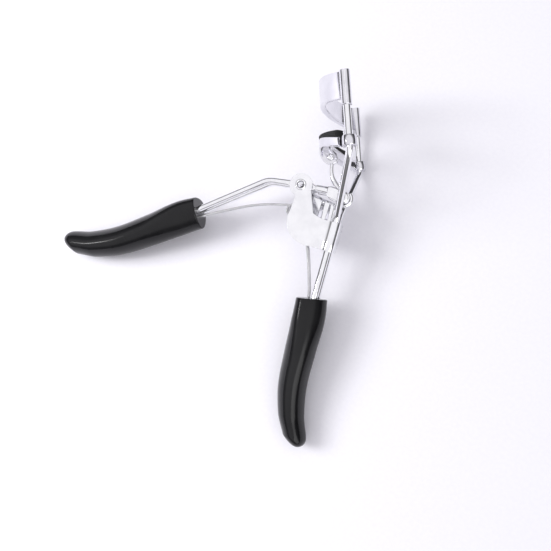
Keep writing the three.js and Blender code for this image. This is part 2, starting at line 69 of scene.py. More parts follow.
# Jaws
JAW_DEPTH = 8.9
JAW_ARC = (JAW_HALF**2 + JAW_DEPTH**2) / (2 * JAW_DEPTH)
UPPER_RISE = 3.3
LOWER_RISE = 4.4
SLEEVE_RADIUS = 1.5
SLEEVE_BORE = 1.15
SLEEVE_BOTTOM = 17.9
SLEEVE_SEAM = 11          # degrees
PLATE_BOTTOM = 19.7
PLATE_HEIGHT = 7.7
PLATE_THICKNESS = 0.8
PLATE_END_INSET = 0.8
LIP_DEPTH = 1.7
LIP_HEIGHT = 0.7
LIP_OFFSET = 0.45
LIP_END_INSET = 1.6
COLLAR_RADIUS = 2.1
COLLAR_BOTTOM = 6.5
COLLAR_HEIGHT = 2.9
COLLAR_GAP = 0.12
CHANNEL_BOTTOM = 6.0
CHANNEL_HEIGHT = 2.7
CHANNEL_WIDTH = 3.2
CHANNEL_WALL = 0.5
CHANNEL_END_INSET = 1.5
APRON_HEIGHT = 2.4
APRON_DROP = 0.6
APRON_HALF_SPAN = 3.2
JAW_EAR_RADIUS = 2
JAW_EAR_INNER_Z = 1.15
JAW_EAR_THICKNESS = 0.65
JAW_EAR_INSET = 0.6
JAW_EAR_LAP = 0.3
PAD_TOP = 11.3
PAD_TOP_RISE = 2.7
PAD_HALF_SPAN = 15
PAD_HALF_WIDTH = 1.5
PAD_STEM_HALF_WIDTH = 0.85
PAD_CROWN_HEIGHT = 0.45
PAD_RIBS = 3
PAD_RIB_DEPTH = 0.16

# Bracket, pivot, lever and link
CHEEK_INNER_Z = 3.4
SHEET = 0.7
SHOULDER_DROP = 0.8
CLASP_GAP = 0.55
EAR_RADIUS = 3.5
RIVET_RADIUS = 1.15
RIVET_FLANGE_BORE = 1.05
RIVET_FLANGE = 1.7
RIVET_FLANGE_HEIGHT = 0.4
SPACER_RADIUS = 2.1
SPACER_GAP = 0.12
WASHER_RADIUS = 2.6
WASHER_GAP = 0.1
PIN_HOLE_GAP = 0.1
LEVER_Z = 2.4
LEVER_RADIUS = 0.95
LEVER_FLAT = 0.4
LEVER_EYE_RADIUS = 2.7
LEVER_STUB_RADIUS = 1.12
LEVER_END_RADIUS = 1.8
LEVER_BEND = Vector((-10.4, 2.9))
LEVER_GRIP_POINT = Vector((-34.6, -4.2))
LINK_PIN = Vector((12.5, -5.1))
LINK_PIN_RADIUS = 0.85
LINK_PIN_HEAD = 1.5
JAW_PIN = Vector((9.4, 7.8))
JAW_PIN_RADIUS = 0.55
JAW_PIN_HEAD = 1.0
LINK_EYE_WIRE = 0.66
LINK_HOOK_WIRE = 0.88
LINK_EYE_LOOP = 1.45
LINK_HOOK_LOOP = 1.95

# Return spring
SPRING_WIRE = 0.33
SPRING_PAIR_Z = 0.6
COIL_CENTRE = Vector((-3.5, -7.2))
COIL_RADIUS = 1.8
COIL_PITCH = 0.9
COIL_TURNS = 1.25
SPRING_FRAME_END = (-3.15, -41.3, 0)
SPRING_LEVER_END = (-40.8, -7.6, 0)

# Grips: mouth centre, direction of the chord from mouth to tip, length, and the side it swings to
FRAME_GRIP = {"mouth": Vector((0.35, -34.8)), "angle": -99.5, "length": 46.0, "side": 1}
LEVER_GRIP = {"mouth": Vector((-34.2, -4.9)), "angle": 185.2, "length": 49.0, "side": -1}
GRIP_HALF_WIDTH = 5.6
# Shares of the length: place along it, swing of its middle inwards, and half its thickness
GRIP_STATIONS = [
    (0.0, 0.0, 0.104),
    (0.15, 0.012, 0.112),
    (0.35, 0.045, 0.107),
    (0.6, 0.077, 0.099),
    (0.8, 0.067, 0.09),
    (0.93, 0.032, 0.08),
    (1.0, 0.005, 0.068),
]

# Where the camera stands about the pivot, and the directions of its right and its top
CAMERA_PLACE = (27.99, -31.97, 171.2)
CAMERA_RIGHT = (0.97276, -0.06742, -0.2218)
CAMERA_UP = (0.07214, 0.99731, 0.01324)
CAMERA_LENS = 36.56
CAMERA_SENSOR = 36

ROUND = 32                # sides of a wire's section, where a call gives no other
SHARP = 38                # degrees between faces that leave a sharp edge
NOISE_LOW = 0.35          # the range in which most of a noise's values lie
NOISE_HIGH = 0.65


# ---- Small helpers ---------------------------------------------------------------------------


def at(x, y, z=0.0):
    """A place in millimetres about the pivot, as a point of the frame in metres."""
    return PIVOT + Vector((x, y, z)) * MM


def lerp(a, b, t):
    return a + (b - a) * t


def smooth(t):
    t = min(max(t, 0.0), 1.0)
    return t * t * (3 - 2 * t)


def read(rows, column, share):
    """A smooth value of one column of the rows at a share, through every row."""
    last = len(rows) - 1
    i = 0
    while i < last - 1 and rows[i + 1][0] < share:
        i += 1
    t = (share - rows[i][0]) / (rows[i + 1][0] - rows[i][0])
    p = [rows[min(max(i + k, 0), last)][column] for k in (-1, 0, 1, 2)]
    slope_a = (p[2] - p[0]) / 2
    slope_b = (p[3] - p[1]) / 2
    a = 2 * p[1] - 2 * p[2] + slope_a + slope_b
    b = -3 * p[1] + 3 * p[2] - 2 * slope_a - slope_b
    return ((a * t + b) * t + slope_a) * t + p[1]


def mesh_piece(name, points, faces, sharp):
    """A mesh object from points in millimetres, smooth except at edges sharper than an angle."""
    mesh = bpy.data.meshes.new(name)
    mesh.from_pydata([at(*p) for p in points], [], faces)
    work = bmesh.new()
    work.from_mesh(mesh)
    clean(work, MERGE_GAP)
    work.to_mesh(mesh)
    work.free()
    piece = bpy.data.objects.new(name, mesh)
    bpy.context.scene.collection.objects.link(piece)
    shade(piece, sharp)
    return piece


def clean(work, gap):
    """Merges points that meet, and takes out faces with no area and edges with no face."""
    bmesh.ops.remove_doubles(work, verts=work.verts, dist=gap)
    bmesh.ops.dissolve_degenerate(work, dist=gap, edges=work.edges)
    loose = [e for e in work.edges if not e.link_faces]
    bmesh.ops.delete(work, geom=loose, context="EDGES")
    bmesh.ops.recalc_face_normals(work, faces=work.faces)


def shade(piece, sharp=SHARP):
    piece.data.shade_smooth()
    piece.data.set_sharp_from_angle(angle=math.radians(sharp))


def apply_modifiers(piece):
    graph = bpy.context.evaluated_depsgraph_get()
    graph.update()
    made = bpy.data.meshes.new_from_object(piece.evaluated_get(graph))
    piece.modifiers.clear()
    piece.data = made


def combine(piece, other, operation):
    """Joins, cuts or intersects a piece with another, which is used up."""
    boolean = piece.modifiers.new("combine", "BOOLEAN")
    boolean.operation = operation
    boolean.solver = "EXACT"
    boolean.object = other
    apply_modifiers(piece)
    bpy.data.objects.remove(other)
    return piece


def soften(piece, width, sharp):
    """Rounds the sharp edges a little, as stamping and plating do."""
    bevel = piece.modifiers.new("soften", "BEVEL")
    bevel.width = width * MM
    bevel.segments = 3
    bevel.limit_method = "ANGLE"
    bevel.angle_limit = math.radians(sharp)
    bevel.use_clamp_overlap = True
    apply_modifiers(piece)
    shade(piece, 50)
    return piece


def loft(name, rings, closed=False, sharp=SHARP):
    """A skin over rings of points that all have the same count, capped unless it closes on itself."""
    count = len(rings[0])
    points = [p for ring in rings for p in ring]
    faces = []
    steps = len(rings) if closed else len(rings) - 1
    for i in range(steps):
        a = i * count
        b = ((i + 1) % len(rings)) * count
        for k in range(count):
            n = (k + 1) % count
            faces.append((a + k, a + n, b + n, b + k))
    if not closed:
        faces.append(tuple(reversed(range(count))))
        faces.append(tuple(range(len(points) - count, len(points))))
    return mesh_piece(name, points, faces, sharp)


def frames_along(path):
    """A tangent and two cross directions at each point, carried along without twist."""
    tangents = []
    for i in range(len(path)):
        before = path[max(i - 1, 0)]
        after = path[min(i + 1, len(path) - 1)]
        tangents.append((after - before).normalized())
    up = Vector((0, 0, 1))
    if abs(tangents[0].dot(up)) > 0.9:
        up = Vector((1, 0, 0))
    result = []
    for tangent in tangents:
        up = (up - tangent * up.dot(tangent)).normalized()
        result.append((tangent, tangent.cross(up), up))
    return result


def sweep(name, path, radius, sides=ROUND, flat=None, closed=False):
    """A round wire along a path. flat(i) gives half width and half thickness where it is coined."""
    path = [Vector(p) for p in path]
    directions = frames_along(path)
    rings = []
    for i, (point, (_, across, up)) in enumerate(zip(path, directions)):
        wide, thick = flat(i) if flat else (radius, radius)
        rings.append(ring_at(point, across, up, wide, thick, sides))
    if closed:
        return loft(name, rings, closed=True)
    # Each cut end has a short, slightly narrower ring, which rounds its edge
    narrowing = 0.22
    end_length = 0.12
    ends = []
    for index, sign in ((0, -1), (-1, 1)):
        tangent, across, up = directions[index]
        wide, thick = flat(len(path) + index if index else 0) if flat else (radius, radius)
        small = 1 - narrowing * min(1.0, 1 / max(wide, 0.2))
        tip = path[index] + tangent * sign * end_length * radius
        ends.append(ring_at(tip, across, up, wide * small, thick * small, sides))
    return loft(name, [ends[0], *rings, ends[1]])


def ring_at(point, across, up, wide, thick, sides):
    """A wire's section: round, or squarer and flat on both faces the more it is coined."""
    squarest = 0.45
    power = lerp(1.0, squarest, max(0.0, 1 - thick / wide))
    ring = []
    for k in range(sides):
        angle = 2 * math.pi * k / sides
        height = math.copysign(abs(math.sin(angle)) ** power, math.sin(angle))
        ring.append(point + across * wide * math.cos(angle) + up * thick * height)
    return ring


def bent(points, trim, steps=14):
    """Straight runs through the points, with each inner corner rounded over the given length."""
    points = [Vector(p) for p in points]
    path = [points[0]]
    for i in range(1, len(points) - 1):
        corner = points[i]
        before = corner + (points[i - 1] - corner).normalized() * trim
        after = corner + (points[i + 1] - corner).normalized() * trim
        for k in range(steps + 1):
            t = k / steps
            path.append(lerp(lerp(before, corner, t), lerp(corner, after, t), t))
    path.append(points[-1])
    return path


def curved(points, steps=10):
    """A smooth line through every point."""
    points = [Vector(p) for p in points]
    path = []
    for i in range(len(points) - 1):
        a = points[max(i - 1, 0)]
        b = points[i]
        c = points[i + 1]
        d = points[min(i + 2, len(points) - 1)]
        for k in range(steps):
            t = k / steps
            path.append(0.5 * (
                2 * b + (c - a) * t + (2 * a - 5 * b + 4 * c - d) * t**2
                + (3 * b - a - 3 * c + d) * t**3
            ))
    path.append(points[-1])
    return path


def turned(name, profile, place, sides=48):
    """A pin or tube along Z at a place, turned from a closed profile of (radius, Z) points."""
    rings = []
    for k in range(sides):
        angle = 2 * math.pi * k / sides
        rings.append([
            (place.x + r * math.cos(angle), place.y + r * math.sin(angle), z) for r, z in profile
        ])
    return loft(name, rings, closed=True)


def rounded_box(wide, high, corner, steps=5):
    """The outline of a bar's section, with round corners, as (across, up) points."""
    outline = []
    for sx, sy, start in ((1, 1, 0), (-1, 1, 90), (-1, -1, 180), (1, -1, 270)):
        for k in range(steps + 1):
            angle = math.radians(start + 90 * k / steps)
            outline.append((
                sx * (wide / 2 - corner) + corner * math.cos(angle),
                sy * (high / 2 - corner) + corner * math.sin(angle),
            ))
    return outline


def prism(name, outline, low, high):
    """A flat piece parallel to the middle plane, between two heights on Z."""
    rings = [[(p[0], p[1], z) for p in outline] for z in (low, high)]
    return loft(name, rings)


def disc(radius, place, sides=48):
    return [
        (place.x + radius * math.cos(2 * math.pi * k / sides),
         place.y + radius * math.sin(2 * math.pi * k / sides))
        for k in range(sides)
    ]


def bar(start, end, radius, steps=16):
    """The outline of a bar with round ends between two places."""
    along = math.atan2(end.y - start.y, end.x - start.x)
    outline = []
    for centre, first in ((end, along - math.pi / 2), (start, along + math.pi / 2)):
        for k in range(steps + 1):
            angle = first + math.pi * k / steps
            outline.append((centre.x + radius * math.cos(angle), centre.y + radius * math.sin(angle)))
    return outline


# ---- Materials -------------------------------------------------------------------------------


def new_material(name):
    material = bpy.data.materials.new(name)
    material.use_nodes = True
    nodes = material.node_tree.nodes
    return material, nodes, material.node_tree.links, nodes["Principled BSDF"]


def add_noise(nodes, links, scale, detail, stretch=(1, 1, 1)):
    """Noise over the object's own coordinates, stretched along its axes."""
    place = nodes.new("ShaderNodeTexCoord")
    mapping = nodes.new("ShaderNodeMapping")
    mapping.inputs["Scale"].default_value = stretch
    noise = nodes.new("ShaderNodeTexNoise")
    noise.inputs["Scale"].default_value = scale
    noise.inputs["Detail"].default_value = detail
    links.new(place.outputs["Object"], mapping.inputs["Vector"])
    links.new(mapping.outputs["Vector"], noise.inputs["Vector"])
    return noise.outputs["Fac"]


def spread(nodes, links, value, low, high):
    """The value stretched from its middle range onto low to high."""
    ranged = nodes.new("ShaderNodeMapRange")
    ranged.inputs["From Min"].default_value = NOISE_LOW
    ranged.inputs["From Max"].default_value = NOISE_HIGH
    ranged.inputs["To Min"].default_value = low
    ranged.inputs["To Max"].default_value = high
    links.new(value, ranged.inputs["Value"])
    return ranged.outputs["Result"]


def tint(nodes, links, value, dark, light):
    ramp = nodes.new("ShaderNodeValToRGB")
    ramp.color_ramp.elements[0].position = NOISE_LOW
    ramp.color_ramp.elements[0].color = (*dark, 1)
    ramp.color_ramp.elements[1].position = NOISE_HIGH
    ramp.color_ramp.elements[1].color = (*light, 1)
    links.new(value, ramp.inputs["Fac"])
    return ramp.outputs["Color"]


def bump(nodes, links, shader, value, strength, distance):
    raised = nodes.new("ShaderNodeBump")
    raised.inputs["Strength"].default_value = strength
    raised.inputs["Distance"].default_value = distance
    links.new(value, raised.inputs["Height"])
    links.new(raised.outputs["Normal"], shader.inputs["Normal"])


def plated(name, dark, light, rough_low, rough_high, stretch):
    """Bright plating: even colour with faint clouding, fine polishing lines and a soft ripple."""
    material, nodes, links, shader = new_material(name)
    shader.inputs["Metallic"].default_value = 1.0
    cloud = add_noise(nodes, links, 260, 3)
    links.new(tint(nodes, links, cloud, dark, light), shader.inputs["Base Color"])
    lines = add_noise(nodes, links, 1500, 4, stretch)
    links.new(spread(nodes, links, lines, rough_low, rough_high), shader.inputs["Roughness"])
    bump(nodes, links, shader, add_noise(nodes, links, 420, 2), 0.06, 0.00006)
    return material


def gloss_plastic():
    """Gloss black moulding: a slight orange peel, and scuffs that lift the roughness in places."""
    material, nodes, links, shader = new_material("gloss_black_plastic")
    cloud = add_noise(nodes, links, 90, 3)
    links.new(tint(nodes, links, cloud, (0.006, 0.006, 0.007), (0.011, 0.011, 0.012)),
              shader.inputs["Base Color"])
    scuff = add_noise(nodes, links, 700, 5, (1, 0.35, 1))
    links.new(spread(nodes, links, scuff, 0.11, 0.2), shader.inputs["Roughness"])
    shader.inputs["IOR"].default_value = 1.46
    shader.inputs["Specular IOR Level"].default_value = 0.3
    bump(nodes, links, shader, add_noise(nodes, links, 1300, 2), 0.1, 0.00002)
    return material


def pad_rubber():
    """Matt black rubber with a fine moulded grain."""
    material, nodes, links, shader = new_material("black_pad_rubber")
    grain = add_noise(nodes, links, 2600, 5)
    links.new(tint(nodes, links, grain, (0.008, 0.008, 0.009), (0.02, 0.02, 0.021)),
              shader.inputs["Base Color"])
    links.new(spread(nodes, links, grain, 0.55, 0.75), shader.inputs["Roughness"])
    bump(nodes, links, shader, grain, 0.35, 0.00004)
    return material


def floor_paper():
    material, nodes, links, shader = new_material("white_paper")
    grain = add_noise(nodes, links, 900, 4)
    links.new(tint(nodes, links, grain, (0.9, 0.89, 0.945), (0.92, 0.91, 0.96)),
              shader.inputs["Base Color"])
    shader.inputs["Roughness"].default_value = 0.9
    shader.inputs["Specular IOR Level"].default_value = 0.1
    return material


WIRE = plated("chrome_wire", (0.84, 0.84, 0.86), (0.92, 0.92, 0.94), 0.035, 0.09, (1, 1, 0.15))
PRESSED = plated("chrome_sheet", (0.86, 0.86, 0.885), (0.93, 0.93, 0.95), 0.05, 0.12, (1, 0.2, 1))
# The jaws' chrome is a darker, lilac copy of the sheet chrome: painted shade, standing in for the
# shaded floor that the jaws reflect
SHADED_JAW_CHROME = plated("chrome_jaw_painted_shade", (0.71, 0.705, 0.745), (0.79, 0.785, 0.825), 0.06, 0.13, (1, 0.2, 1))
SPRING = plated("spring_wire", (0.62, 0.62, 0.63), (0.74, 0.74, 0.75), 0.12, 0.22, (1, 1, 1))
PLASTIC = gloss_plastic()
RUBBER = pad_rubber()


def put(piece, material, slot, body, *nodes):
    """Finishes a piece: its material, the body it moves with and the nodes that it stands for."""
    piece.data.materials.clear()
    piece.data.materials.append(material)
    if body:
        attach(piece, body)
    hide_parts(*nodes)
    return piece


# ---- Frame -----------------------------------------------------------------------------------


def along_handle(distance, across=0.0):
    """A point along the frame's handle wires from the neck."""
    x = NECK.x - math.sin(LEAN) * distance + math.cos(LEAN) * across
    y = NECK.y - math.cos(LEAN) * distance - math.sin(LEAN) * across
    return Vector((x, y))


def guide_rod(side):
    end = along_handle(ROD_HANDLE_LENGTH)
    path = bent([
        (ROD_X, ROD_TOP_Y, side * JAW_HALF),
        (ROD_X, ROD_BEND_Y, side * JAW_HALF),
        (NECK.x, NECK.y, side * ROD_PAIR_Z),
        (end.x, end.y, side * ROD_PAIR_Z),
    ], ROD_BEND_TRIM)
    name = "near" if side > 0 else "far"
    return sweep(f"frame_rod_{name}", path, ROD_RADIUS)


def jaw_point(angle, across, up, rise):
    """A point of a jaw's arc: across is towards the rods, and up is its height before the arch."""
    reach = JAW_ARC - across
    share = JAW_ARC * math.sin(angle) / JAW_HALF
    return (
        ROD_X - JAW_DEPTH + JAW_ARC - reach * math.cos(angle),
        up + rise * (1 - share * share),
        reach * math.sin(angle),
    )


def jaw_band(name, outline, half_span, rise, steps=64, rise_at=None):
    """A bar bent along a jaw, from the outline of its section as (across, height) points.

    rise_at gives the rise at a height, for a bar whose top arches less than its underside.
    """
    limit = math.asin(half_span / JAW_ARC)
    rings = []
    for i in range(steps + 1):
        angle = lerp(-limit, limit, i / steps)
        rings.append([
            jaw_point(angle, across, up, rise_at(up) if rise_at else rise) for across, up in outline
        ])
    return loft(name, rings)


def shifted(outline, across, up):
    return [(a + across, b + up) for a, b in outline]


def rod_tube(name, side, radius, bore, low, height, seam=0.0):
    """A tube round a guide rod with rolled edges. A seam leaves its wall open by that angle."""
    edge = 0.12
    profile = [
        (bore, low + edge), (bore + edge, low), (radius - edge, low), (radius, low + edge),
        (radius, low + height - edge), (radius - edge, low + height),
        (bore + edge, low + height), (bore, low + height - edge),
    ]
    rings = []
    sides = 56
    whole = seam == 0.0
    for k in range(sides if whole else sides + 1):
        turn = math.radians(360 - seam) * k / sides
        angle = side * (math.pi / 2 + math.radians(seam / 2) + turn)
        rings.append([
            (ROD_X + r * math.cos(angle), y, side * JAW_HALF + r * math.sin(angle))
            for r, y in profile
        ])
    return loft(name, rings, closed=whole)


def upper_jaw():
    """The plate, the lip along its lower edge, and a seamed sleeve on each rod."""
    plate_corner = 0.22
    lip_corner = 0.3
    plate = rounded_box(PLATE_THICKNESS, PLATE_HEIGHT, plate_corner)
    plate = shifted(plate, 0, PLATE_BOTTOM + PLATE_HEIGHT / 2)
    jaw = jaw_band("upper_jaw_plate", plate, JAW_HALF - PLATE_END_INSET, UPPER_RISE)
    lip = rounded_box(LIP_DEPTH, LIP_HEIGHT, lip_corner)
    lip = shifted(lip, LIP_OFFSET, PLATE_BOTTOM + LIP_HEIGHT / 2)
    combine(jaw, jaw_band("lip", lip, JAW_HALF - LIP_END_INSET, UPPER_RISE), "UNION")
    height = ROD_TOP_Y - SLEEVE_BOTTOM
    for side in (1, -1):
        tube = rod_tube(
            "sleeve", side, SLEEVE_RADIUS, SLEEVE_BORE, SLEEVE_BOTTOM, height, SLEEVE_SEAM,
        )
        combine(jaw, tube, "UNION")
    shade(jaw)
    return jaw


def lower_jaw():
    """The channel with a collar on each rod, two ears for its pin, and an apron below its middle."""
    top = CHANNEL_BOTTOM + CHANNEL_HEIGHT
    half = CHANNEL_WIDTH / 2
    inner = half - CHANNEL_WALL
    floor = CHANNEL_BOTTOM + CHANNEL_WALL
    round_top = 0.12
    round_base = 0.5
    base_cut = 0.14
    section = [
        (-half + round_base, CHANNEL_BOTTOM), (half - round_base, CHANNEL_BOTTOM),
        (half - base_cut, CHANNEL_BOTTOM + base_cut), (half, CHANNEL_BOTTOM + round_base),
        (half, top - round_top), (half - round_top, top), (inner + round_top, top),
        (inner, top - round_top), (inner, floor), (-inner, floor), (-inner, top - round_top),
        (-inner - round_top, top), (-half + round_top, top), (-half, top - round_top),
        (-half, CHANNEL_BOTTOM + round_base), (-half + base_cut, CHANNEL_BOTTOM + base_cut),
    ]
    jaw = jaw_band("lower_jaw_channel", section, JAW_HALF - CHANNEL_END_INSET, LOWER_RISE)
    for side in (1, -1):
        tube = rod_tube(
            "collar", side, COLLAR_RADIUS, ROD_RADIUS + COLLAR_GAP, COLLAR_BOTTOM, COLLAR_HEIGHT,
        )
        combine(jaw, tube, "UNION")
    root = Vector((
        ROD_X - JAW_DEPTH + JAW_EAR_INSET,
        CHANNEL_BOTTOM + LOWER_RISE - JAW_EAR_RADIUS + JAW_EAR_LAP,
    ))
    for low in (JAW_EAR_INNER_Z, -JAW_EAR_INNER_Z - JAW_EAR_THICKNESS):
        ear = prism("ear", bar(JAW_PIN, root, JAW_EAR_RADIUS), low, low + JAW_EAR_THICKNESS)
        hole = prism("hole", disc(JAW_PIN_RADIUS + 0.08, JAW_PIN), low - 1, low + 2)
        combine(jaw, combine(ear, hole, "DIFFERENCE"), "UNION")
    apron_corner = 0.2
    apron = rounded_box(CHANNEL_WALL, APRON_HEIGHT, apron_corner)
    apron = shifted(apron, -half + CHANNEL_WALL / 2, CHANNEL_BOTTOM - APRON_DROP)
    combine(jaw, jaw_band("apron", apron, APRON_HALF_SPAN, LOWER_RISE, 24), "UNION")
    return soften(jaw, 0.09, 55)


def jaw_pad():
    """The pad: a stem in the channel, a head with moulded ribs along both sides, and a round crown."""
    seat_gap = 0.25
    head_gap = 0.12
    low = CHANNEL_BOTTOM + CHANNEL_WALL + seat_gap
    shoulder = CHANNEL_BOTTOM + CHANNEL_HEIGHT + head_gap
    crown_base = PAD_TOP - PAD_CROWN_HEIGHT
    span = crown_base - shoulder
    side_steps = PAD_RIBS * 8
    side = []
    for i in range(side_steps + 1):
        t = i / side_steps
        groove = PAD_RIB_DEPTH * (0.5 - 0.5 * math.cos(2 * math.pi * PAD_RIBS * t))
        side.append((PAD_HALF_WIDTH - groove, shoulder + span * t))
    crown_steps = 8
    crown = []
    for i in range(1, crown_steps):
        angle = math.pi / 2 * i / crown_steps
        crown.append((
            PAD_HALF_WIDTH * math.cos(angle) ** 0.8,
            crown_base + PAD_CROWN_HEIGHT * math.sin(angle),
        ))
    right = [
        (PAD_STEM_HALF_WIDTH, low), (PAD_STEM_HALF_WIDTH, shoulder), *side, *crown, (0.0, PAD_TOP),
    ]
    left = [(-across, up) for across, up in reversed(right[:-1])]

    def rise_at(up):
        share = min(max((up - shoulder) / (PAD_TOP - shoulder), 0.0), 1.0)
        return lerp(LOWER_RISE, PAD_TOP_RISE, share)

    return jaw_band("pad_strip", right + left, PAD_HALF_SPAN, LOWER_RISE, 96, rise_at)


# ---- Bracket ---------------------------------------------------------------------------------


def bracket_line(steps=20):
    """The middle of the bracket's sheet, seen along the rods, as (across, Z) points."""
    clasp = ROD_RADIUS + CLASP_GAP
    sheet_end = -24
    steps_start = -6.8
    steps_end = -2.4
    wrap = 125
    cheek = CHEEK_INNER_Z + SHEET / 2
    half = [Vector((sheet_end, cheek)), Vector((steps_start, cheek))]
    # The sheet steps in from the cheek to the clasp in two narrow pressed steps, given as shares
    step_width = 0.36
    second_step = 0.55
    for i in range(1, steps + 1):
        t = i / steps
        drop = SHOULDER_DROP * (smooth(t / step_width) + smooth((t - second_step) / step_width)) / 2
        half.append(Vector((lerp(steps_start, steps_end, t), cheek - drop)))
    for i in range(steps + 1):
        angle = math.radians(lerp(wrap, 0, i / steps))
        half.append(Vector((clasp * math.cos(angle), ROD_PAIR_Z + clasp * math.sin(angle))))
    mirrored = [Vector((p.x, -p.y)) for p in reversed(half[:-1])]
    return half + mirrored


def band_outline(line, thickness):
    left, right = [], []
    for i, p in enumerate(line):
        run = line[min(i + 1, len(line) - 1)] - line[max(i - 1, 0)]
        normal = Vector((-run.y, run.x)).normalized() * thickness / 2
        left.append(p + normal)
        right.append(p - normal)
    return left + right[::-1]


def cheek_outline(near):
    """The outline of one cheek, seen along the pivot: a round ear, a waist and a round belly."""
    ear_start = -32
    ear_turn = 267
    ear_steps = 32
    outline = []
    for i in range(ear_steps + 1):
        angle = math.radians(ear_start + ear_turn * i / ear_steps)
        outline.append(Vector((EAR_RADIUS * math.cos(angle), EAR_RADIUS * math.sin(angle))))
    belly = [
        outline[-1], Vector((-2.3, -4.0)), Vector((-3.5, -6.6)), Vector((-4.7, -9.0)),
        Vector((-5.1, -11.2)), Vector((-4.9, -13.5)), Vector((-3.9, -15.7)), Vector((-2.3, -17.3)),
        Vector((-0.2, -18.6)),
    ]
    outline += curved(belly, 6)[1:]
    outline += [along_handle(10.1, -5.4), along_handle(10.4, 4), along_handle(1.3, 4)]
    if near:
        outline += [along_handle(1.3, -3.2), along_handle(1, -5.2), Vector((3.1, -9.0))]
    else:
        outline += [along_handle(1.3, -1.8), along_handle(-4.7, -2.1), Vector((5.4, -3.6))]
    return outline


def pivot_bracket():
    """The folded sheet run along the handle, trimmed to its two cheeks and pierced for the rivet."""
    section = band_outline(bracket_line(), SHEET)
    rings = []
    run_start = -22
    run_end = 30
    for distance in (run_start, run_end):
        rings.append([(*along_handle(distance, p.x), p.y) for p in section])
    sheet = loft("bracket_sheet", rings)
    reach = CHEEK_INNER_Z + 3
    overlap = 0.2
    cut = prism("cut", cheek_outline(True), -overlap, reach)
    combine(cut, prism("far", cheek_outline(False), -reach, overlap), "UNION")
    combine(sheet, cut, "INTERSECT")
    rivet_hole = disc(RIVET_RADIUS + 0.05, Vector((0, 0)))
    combine(sheet, prism("hole", rivet_hole, -reach, reach), "DIFFERENCE")
    return soften(sheet, 0.26, 42)


def pivot_rivet():
    """The tubular rivet: each end is rolled outwards into a round flange over its cheek."""
    face = CHEEK_INNER_Z + SHEET + 0.02
    middle = (RIVET_FLANGE + RIVET_FLANGE_BORE) / 2
    half = (RIVET_FLANGE - RIVET_FLANGE_BORE) / 2
    upper = [(RIVET_RADIUS, face)]
    roll_steps = 12
    for i in range(roll_steps + 1):
        angle = math.pi * i / roll_steps
        height = RIVET_FLANGE_HEIGHT * math.sin(angle) ** 0.8
        upper.append((middle + half * math.cos(angle), face + height))
    # Inside the flange the wall dishes down to a narrower bore
    upper += [(0.98, face - 0.3), (0.8, face - 0.75), (0.5, face - 1.15), (0.3, face - 1.4)]
    lower = [(r, -z) for r, z in reversed(upper)]
    return turned("pivot_eyelet", upper + lower, Vector((0, 0)), 64)


def tube_between(name, bore, outer, low, high):
    edge = 0.06
    profile = [
        (bore, low), (outer - edge, low), (outer, low + edge),
        (outer, high - edge), (outer - edge, high), (bore, high),
    ]
    return turned(name, profile, Vector((0, 0)))


# ---- Lever and link --------------------------------------------------------------------------


def lever_wire(side):
    """Round wire that is coined flat at the pivot eye and at its end, and left round between."""
    z = side * LEVER_Z
    inside = LEVER_BEND + (LEVER_GRIP_POINT - LEVER_BEND) * 1.75
    run = bent([(inside.x, inside.y, z), (LEVER_BEND.x, LEVER_BEND.y, z), (-4.2, 1.3, z)], 2.0)
    # Each place on the coined part, with its half width and half thickness there
    coined = [
        (-3.4, 1.05, 1.1, 0.62), (-2.4, 0.75, 1.5, LEVER_FLAT), (0, 0, 1.9, LEVER_FLAT),
        (2.4, -0.7, 1.5, LEVER_FLAT), (3.2, -0.95, 1.2, 0.6),
        # A thin core inside the stub
        (4.2, -1.25, 0.65, 0.5), (5, -1.5, 0.65, 0.5), (7.0, -2.15, 0.9, 0.5),
        (7.6, -2.35, 1.3, LEVER_FLAT), (8.4, -2.8, 1.7, LEVER_FLAT),
        (10.4, -3.9, LEVER_END_RADIUS, LEVER_FLAT),
        (LINK_PIN.x, LINK_PIN.y, LEVER_END_RADIUS, LEVER_FLAT),
    ]
    path = [*run, *(Vector((x, y, z)) for x, y, _, _ in coined)]
    shapes = [(LEVER_RADIUS, LEVER_RADIUS)] * len(run)
    shapes += [(wide, thick) for _, _, wide, thick in coined]
    name = "near" if side > 0 else "far"
    piece = sweep(f"lever_arm_{name}", path, LEVER_RADIUS, 28, lambda i: shapes[i])
    low = z - LEVER_FLAT
    high = z + LEVER_FLAT
    combine(piece, prism("boss", disc(LEVER_EYE_RADIUS, Vector((0, 0))), low, high), "UNION")
    combine(piece, prism("end", disc(LEVER_END_RADIUS, LINK_PIN), low, high), "UNION")
    stub = [(4.5, -1.33, z), (7.8, -2.4, z)]
    combine(piece, sweep("stub", stub, LEVER_STUB_RADIUS, 28), "UNION")
    for place, radius in ((Vector((0, 0)), RIVET_RADIUS), (LINK_PIN, LINK_PIN_RADIUS)):
        hole = prism("hole", disc(radius + PIN_HOLE_GAP, place), low - 1, high + 1)
        combine(piece, hole, "DIFFERENCE")
    return soften(piece, 0.08, 50)


def headed_pin(name, place, radius, head, inner, outer):
    """A pin with a low domed head at each end."""
    upper = [(radius, inner), (head - 0.1, inner), (head, inner + 0.1)]
    for i in range(7):
        angle = math.pi / 2 * i / 6
        upper.append((
            head * math.cos(angle) if i < 6 else 0.0,
            inner + 0.12 + (outer - inner - 0.12) * math.sin(angle),
        ))
    lower = [(r, -z) for r, z in reversed(upper)]
    return turned(name, upper + lower, place)


def loop(centre, radius, first, last, steps=32):
    """Places round a centre from one angle to another, in degrees."""
    points = []
    for i in range(steps + 1):
        angle = math.radians(lerp(first, last, i / steps))
        points.append(Vector((
            centre.x + radius * math.cos(angle), centre.y + radius * math.sin(angle), 0.0,
        )))
    return points


